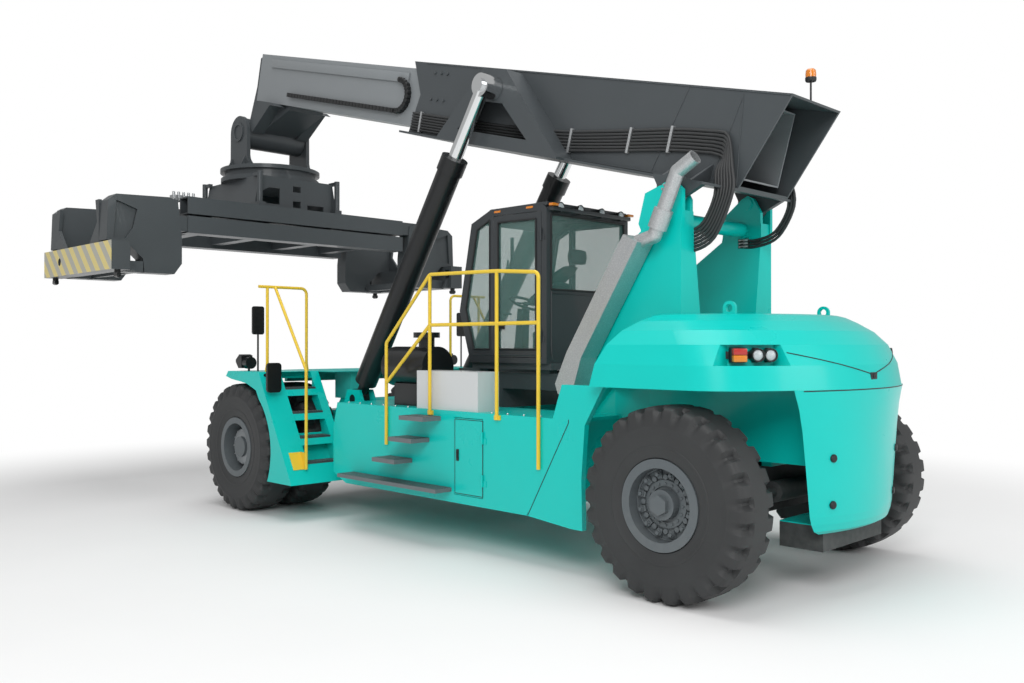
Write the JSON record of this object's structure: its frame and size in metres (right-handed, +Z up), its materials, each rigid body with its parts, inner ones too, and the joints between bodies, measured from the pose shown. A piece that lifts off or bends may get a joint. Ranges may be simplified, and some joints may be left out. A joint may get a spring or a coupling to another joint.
{
  "type": "reach stacker",
  "caption": "Heavy wheeled container handler: telescopic boom on rear towers, twin lift cylinders, slewing container spreader, sliding cab, dual drive wheels and steered rear wheels",
  "frame": {"origin": "middle of the machine's length and width, on the floor", "axes": "+X forward (toward the spreader), +Y to the machine's left, +Z up"},
  "size_m": [11.2896, 6.1, 6.6889],
  "materials": {
    "teal_paint": "gloss",
    "dark_grey_paint": "satin",
    "light_grey_paint": "satin",
    "yellow_paint": "gloss",
    "rim_grey": "satin",
    "rubber_black": "matte",
    "chrome_rod": "polished",
    "black_steel": "satin",
    "sheet_steel": "satin",
    "cab_glass": "clear",
    "black_plastic": "matte",
    "seat_fabric": "matte",
    "cast_grey": "rough"
  },
  "bodies": {
    "chassis": {"chassis_frame": "teal_paint", "boom_towers": "teal_paint", "front_axle": "cast_grey", "steer_axle": "cast_grey", "engine_block": "cast_grey", "counterweight": "teal_paint", "engine_hood": "teal_paint", "hood_skirt": "teal_paint", "side_tanks": "teal_paint", "front_fenders": "teal_paint", "fender_skirts": "teal_paint", "front_deck": "teal_paint", "walkways": "light_grey_paint", "handrails": "yellow_paint", "cab_rails": "dark_grey_paint", "exhaust_stack": "sheet_steel", "air_cleaner": "black_plastic", "tool_box": "sheet_steel", "work_lamps": "black_plastic", "mirrors": "black_plastic"},
    "locker": {"locker_door": "teal_paint"},
    "cab": {"cab_shell": "dark_grey_paint", "cab_glass": "cab_glass", "operator_seat": "seat_fabric", "cab_console": "black_plastic", "cab_carriage": "dark_grey_paint"},
    "door": {"cab_door": "dark_grey_paint", "cab_door_glass": "cab_glass"},
    "boom": {"boom_outer": "dark_grey_paint"},
    "boom_slide": {"boom_inner": "light_grey_paint", "boom_head": "dark_grey_paint"},
    "tilt_yoke": {"tilt_frame": "dark_grey_paint"},
    "slew_table": {"turntable": "dark_grey_paint"},
    "spreader": {"spreader_frame": "dark_grey_paint"},
    "arm_left": {"spreader_arm_left": "dark_grey_paint", "twistlocks_left": "black_steel"},
    "arm_right": {"spreader_arm_right": "dark_grey_paint", "twistlocks_right": "black_steel"},
    "front_wheels_left": {"front_tyres_left": "rubber_black", "front_rims_left": "rim_grey"},
    "knuckle_left": {"knuckle_left": "cast_grey"},
    "rear_wheel_left": {"rear_tyre_left": "rubber_black", "rear_rim_left": "rim_grey"},
    "lift_barrel_left": {"lift_barrel_left": "black_steel"},
    "lift_rod_left": {"lift_rod_left": "chrome_rod"},
    "front_wheels_right": {"front_tyres_right": "rubber_black", "front_rims_right": "rim_grey"},
    "knuckle_right": {"knuckle_right": "cast_grey"},
    "rear_wheel_right": {"rear_tyre_right": "rubber_black", "rear_rim_right": "rim_grey"},
    "lift_barrel_right": {"lift_barrel_right": "black_steel"},
    "lift_rod_right": {"lift_rod_right": "chrome_rod"}
  },
  "joints": [
    {"name": "front_roll_left", "type": "hinge", "parent": "chassis", "child": "front_wheels_left", "pos_m": [1.90525, 1.433, 0.815], "axis": [0, 1, 0], "continuous": true},
    {"name": "steer_left", "type": "hinge", "parent": "chassis", "child": "knuckle_left", "pos_m": [-4.59475, 1.15, 0.815], "axis": [0, 0, 1], "range_deg": [-45, 45]},
    {"name": "rear_roll_left", "type": "hinge", "parent": "knuckle_left", "child": "rear_wheel_left", "pos_m": [-4.59475, 1.48, 0.815], "axis": [0, 1, 0], "continuous": true},
    {"name": "front_roll_right", "type": "hinge", "parent": "chassis", "child": "front_wheels_right", "pos_m": [1.90525, -1.433, 0.815], "axis": [0, 1, 0], "continuous": true},
    {"name": "steer_right", "type": "hinge", "parent": "chassis", "child": "knuckle_right", "pos_m": [-4.59475, -1.15, 0.815], "axis": [0, 0, 1], "range_deg": [-45, 45]},
    {"name": "rear_roll_right", "type": "hinge", "parent": "knuckle_right", "child": "rear_wheel_right", "pos_m": [-4.59475, -1.48, 0.815], "axis": [0, 1, 0], "continuous": true},
    {"name": "boom_lift", "type": "hinge", "parent": "chassis", "child": "boom", "pos_m": [-4.02475, 0, 3.58], "axis": [0, -1, 0], "range_deg": [-15, 43]},
    {"name": "boom_extend", "type": "slide", "parent": "boom", "child": "boom_slide", "axis": [-0.9659, 0, -0.2588], "range_m": [-3.7, 0]},
    {"name": "spreader_tilt", "type": "hinge", "parent": "boom_slide", "child": "tilt_yoke", "pos_m": [4.38525, 0, 5.49], "axis": [0, -1, 0], "range_deg": [-43, 15]},
    {"name": "spreader_slew", "type": "hinge", "parent": "tilt_yoke", "child": "slew_table", "pos_m": [4.38525, 0, 4.87], "axis": [0, 0, 1], "range_deg": [-105, 195]},
    {"name": "side_shift", "type": "slide", "parent": "slew_table", "child": "spreader", "axis": [0, 1, 0], "range_m": [-0.8, 0.8]},
    {"name": "spread_left", "type": "slide", "parent": "spreader", "child": "arm_left", "axis": [0, 1, 0], "range_m": [0, 3.066]},
    {"name": "spread_right", "type": "slide", "parent": "spreader", "child": "arm_right", "axis": [0, -1, 0], "range_m": [0, 3.066]},
    {"name": "lift_swing_left", "type": "hinge", "parent": "chassis", "child": "lift_barrel_left", "pos_m": [0.70525, 0.88, 1.44], "axis": [0, -1, 0], "range_deg": [-1.5, 4]},
    {"name": "lift_stroke_left", "type": "slide", "parent": "lift_barrel_left", "child": "lift_rod_left", "axis": [-0.5487, 0, 0.836], "range_m": [-0.72, 2.02]},
    {"name": "lift_swing_right", "type": "hinge", "parent": "chassis", "child": "lift_barrel_right", "pos_m": [0.70525, -0.88, 1.44], "axis": [0, -1, 0], "range_deg": [-1.5, 4]},
    {"name": "lift_stroke_right", "type": "slide", "parent": "lift_barrel_right", "child": "lift_rod_right", "axis": [-0.5487, 0, 0.836], "range_m": [-0.72, 2.02]},
    {"name": "cab_slide", "type": "slide", "parent": "chassis", "child": "cab", "axis": [1, 0, 0], "range_m": [0, 1.2]},
    {"name": "door_swing", "type": "hinge", "parent": "cab", "child": "door", "pos_m": [-2.31975, 0.703, 2.8], "axis": [0, 0, -1], "range_deg": [-85, 0]},
    {"name": "locker_swing", "type": "hinge", "parent": "chassis", "child": "locker", "pos_m": [-2.27475, 1.516, 0.98], "axis": [0, 0, 1], "range_deg": [0, 110]}
  ],
  "couplings": [
    {"joint": "steer_right", "follows": "steer_left", "ratio": 1},
    {"joint": "spreader_tilt", "follows": "boom_lift", "ratio": -1},
    {"joint": "spread_right", "follows": "spread_left", "ratio": 1},
    {"joint": "lift_swing_left", "follows": "boom_lift", "ratio": 0.09},
    {"joint": "lift_stroke_left", "follows": "boom_lift", "m_per_rad": 2.67},
    {"joint": "lift_swing_right", "follows": "boom_lift", "ratio": 0.09},
    {"joint": "lift_stroke_right", "follows": "boom_lift", "m_per_rad": 2.67}
  ]
}
